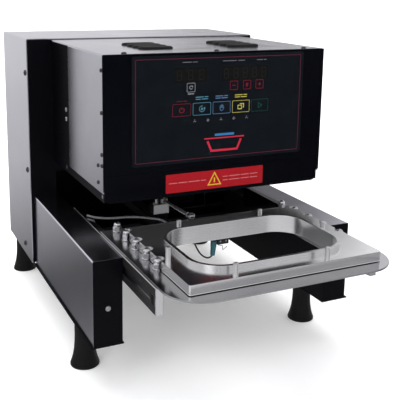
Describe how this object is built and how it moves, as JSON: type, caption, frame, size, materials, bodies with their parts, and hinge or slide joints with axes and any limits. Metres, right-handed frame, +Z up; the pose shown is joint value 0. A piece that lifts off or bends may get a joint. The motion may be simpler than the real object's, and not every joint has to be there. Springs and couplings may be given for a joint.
{
  "type": "tray sealing machine",
  "caption": "Table-top heat sealer for film-lidded trays: a rear housing, a raised press head with a keypad, and a motor-driven drawer that carries the tray die under the head.",
  "frame": {"origin": "on the floor, under the middle of the machine's bounding box with the drawer out", "axes": "+Z up; -Y to the front, the way the drawer comes out; +X to the right as seen from the front"},
  "size_m": [0.4, 0.654, 0.437],
  "materials": {
    "grey_paint": "grey satin paint with fine metallic flake",
    "black_paint": "black satin paint",
    "slide_rail_steel": "ground steel",
    "gloss_black": "glossy black paint",
    "rubber": "matt black moulded rubber",
    "belt_rubber": "matt black toothed belt",
    "keypad_print": "printed polyester foil, satin",
    "circuit_board": "green solder mask",
    "polished_steel": "polished stainless steel",
    "die_aluminium": "milled aluminium",
    "plated_steel": "plated steel",
    "chrome": "bright chrome plating",
    "platen_aluminium": "machined aluminium with a release coating",
    "black_plastic": "black moulded plastic",
    "black_cable": "black cable jacket",
    "grey_cable": "grey cable jacket"
  },
  "bodies": {
    "machine": {"housing_cover": "grey_paint", "left_arm_cover": "grey_paint", "right_arm_cover": "grey_paint", "head_cover": "grey_paint", "base_plate": "black_paint", "housing_front_panel": "black_paint", "rear_panel": "black_paint", "left_arm_channel": "black_paint", "right_arm_channel": "black_paint", "head_frame": "black_paint", "belt_frame": "black_paint", "spindle_bracket": "black_paint", "left_slide_rail": "slide_rail_steel", "right_slide_rail": "slide_rail_steel", "control_panel": "gloss_black", "lower_front_panel": "gloss_black", "foot_front_left": "rubber", "foot_front_right": "rubber", "foot_rear_left": "rubber", "foot_rear_right": "rubber", "drive_belt": "belt_rubber", "keypad_foil": "keypad_print", "control_board": "circuit_board", "power_supply": "plated_steel", "drawer_gearmotor": "plated_steel", "press_gearmotor": "plated_steel", "rewind_motor": "plated_steel", "mains_inlet": "black_plastic"},
    "drawer": {"drawer_plate": "polished_steel", "tray_die": "die_aluminium", "left_nut_rail": "chrome", "right_nut_rail": "chrome", "left_drawer_bar": "plated_steel", "right_drawer_bar": "plated_steel", "carriage_block": "plated_steel", "tie_rod": "chrome", "tray_switch": "black_plastic", "switch_lead": "black_cable", "sensor_cable": "grey_cable"},
    "press": {"platen_carrier": "plated_steel", "heated_platen": "platen_aluminium", "trim_knife": "chrome"},
    "idler": {"idler_pulley": "plated_steel"},
    "drive_wheel": {"drive_pulley": "plated_steel"},
    "screw": {"press_screw": "chrome"},
    "film_shaft": {"film_spindle": "black_plastic"},
    "rewind_shaft": {"rewind_spindle": "black_plastic"},
    "front_roller": {"front_film_roller": "plated_steel"},
    "rear_roller": {"rear_film_roller": "plated_steel"},
    "rocker": {"power_rocker": "black_plastic"},
    "lever": {"switch_lever": "chrome"},
    "key_power": {"key_power": "keypad_print"},
    "key_automatic": {"key_automatic": "keypad_print"},
    "key_manual": {"key_manual": "keypad_print"},
    "key_double": {"key_double": "keypad_print"},
    "key_start": {"key_start": "keypad_print"},
    "key_reset": {"key_reset": "keypad_print"},
    "key_minus": {"key_minus": "keypad_print"},
    "key_menu": {"key_menu": "keypad_print"},
    "key_plus": {"key_plus": "keypad_print"}
  },
  "joints": [
    {"name": "drawer_slide", "type": "slide", "parent": "machine", "child": "drawer", "axis": [0, 1, 0], "range_m": [0, 0.2]},
    {"name": "idler_turn", "type": "hinge", "parent": "machine", "child": "idler", "pos_m": [0, 0.0665, 0.1314], "axis": [1, 0, 0], "continuous": true},
    {"name": "drive_pulley_turn", "type": "hinge", "parent": "machine", "child": "drive_wheel", "pos_m": [0, 0.3, 0.1314], "axis": [1, 0, 0], "continuous": true},
    {"name": "press_slide", "type": "slide", "parent": "machine", "child": "press", "axis": [0, 0, -1], "range_m": [0, 0.0435]},
    {"name": "press_screw_turn", "type": "hinge", "parent": "machine", "child": "screw", "pos_m": [-0.0008, -0.0132, 0.351], "axis": [0, 0, 1], "continuous": true},
    {"name": "film_spindle_turn", "type": "hinge", "parent": "machine", "child": "film_shaft", "pos_m": [0, 0.235, 0.27], "axis": [1, 0, 0], "continuous": true},
    {"name": "rewind_spindle_turn", "type": "hinge", "parent": "machine", "child": "rewind_shaft", "pos_m": [0, 0.235, 0.385], "axis": [1, 0, 0], "continuous": true},
    {"name": "front_roller_turn", "type": "hinge", "parent": "machine", "child": "front_roller", "pos_m": [0, -0.0955, 0.247], "axis": [1, 0, 0], "continuous": true},
    {"name": "rear_roller_turn", "type": "hinge", "parent": "machine", "child": "rear_roller", "pos_m": [0, 0.075, 0.247], "axis": [1, 0, 0], "continuous": true},
    {"name": "power_rocker_tilt", "type": "hinge", "parent": "machine", "child": "rocker", "pos_m": [0.14, 0.316, 0.134], "axis": [1, 0, 0], "range_deg": [-18, 0]},
    {"name": "switch_lever_swing", "type": "hinge", "parent": "drawer", "child": "lever", "pos_m": [0.005, -0.112, 0.1619], "axis": [0, -1, 0], "range_deg": [0, 8], "stiffness_Nm_per_rad": 0.01, "springref_deg": -5.73},
    {"name": "key_power_press", "type": "slide", "parent": "machine", "child": "key_power", "axis": [0, 1, 0], "range_m": [0, 0.0003], "stiffness_N_per_m": 3000, "springref_m": -0.0003},
    {"name": "key_automatic_press", "type": "slide", "parent": "machine", "child": "key_automatic", "axis": [0, 1, 0], "range_m": [0, 0.0003], "stiffness_N_per_m": 3000, "springref_m": -0.0003},
    {"name": "key_manual_press", "type": "slide", "parent": "machine", "child": "key_manual", "axis": [0, 1, 0], "range_m": [0, 0.0003], "stiffness_N_per_m": 3000, "springref_m": -0.0003},
    {"name": "key_double_press", "type": "slide", "parent": "machine", "child": "key_double", "axis": [0, 1, 0], "range_m": [0, 0.0003], "stiffness_N_per_m": 3000, "springref_m": -0.0003},
    {"name": "key_start_press", "type": "slide", "parent": "machine", "child": "key_start", "axis": [0, 1, 0], "range_m": [0, 0.0003], "stiffness_N_per_m": 3000, "springref_m": -0.0003},
    {"name": "key_reset_press", "type": "slide", "parent": "machine", "child": "key_reset", "axis": [0, 1, 0], "range_m": [0, 0.0003], "stiffness_N_per_m": 3000, "springref_m": -0.0003},
    {"name": "key_minus_press", "type": "slide", "parent": "machine", "child": "key_minus", "axis": [0, 1, 0], "range_m": [0, 0.0003], "stiffness_N_per_m": 3000, "springref_m": -0.0003},
    {"name": "key_menu_press", "type": "slide", "parent": "machine", "child": "key_menu", "axis": [0, 1, 0], "range_m": [0, 0.0003], "stiffness_N_per_m": 3000, "springref_m": -0.0003},
    {"name": "key_plus_press", "type": "slide", "parent": "machine", "child": "key_plus", "axis": [0, 1, 0], "range_m": [0, 0.0003], "stiffness_N_per_m": 3000, "springref_m": -0.0003}
  ],
  "couplings": [
    {"joint": "idler_turn", "follows": "drawer_slide", "rad_per_m": -100},
    {"joint": "drive_pulley_turn", "follows": "drawer_slide", "rad_per_m": -100},
    {"joint": "press_screw_turn", "follows": "press_slide", "rad_per_m": 1256.6}
  ]
}
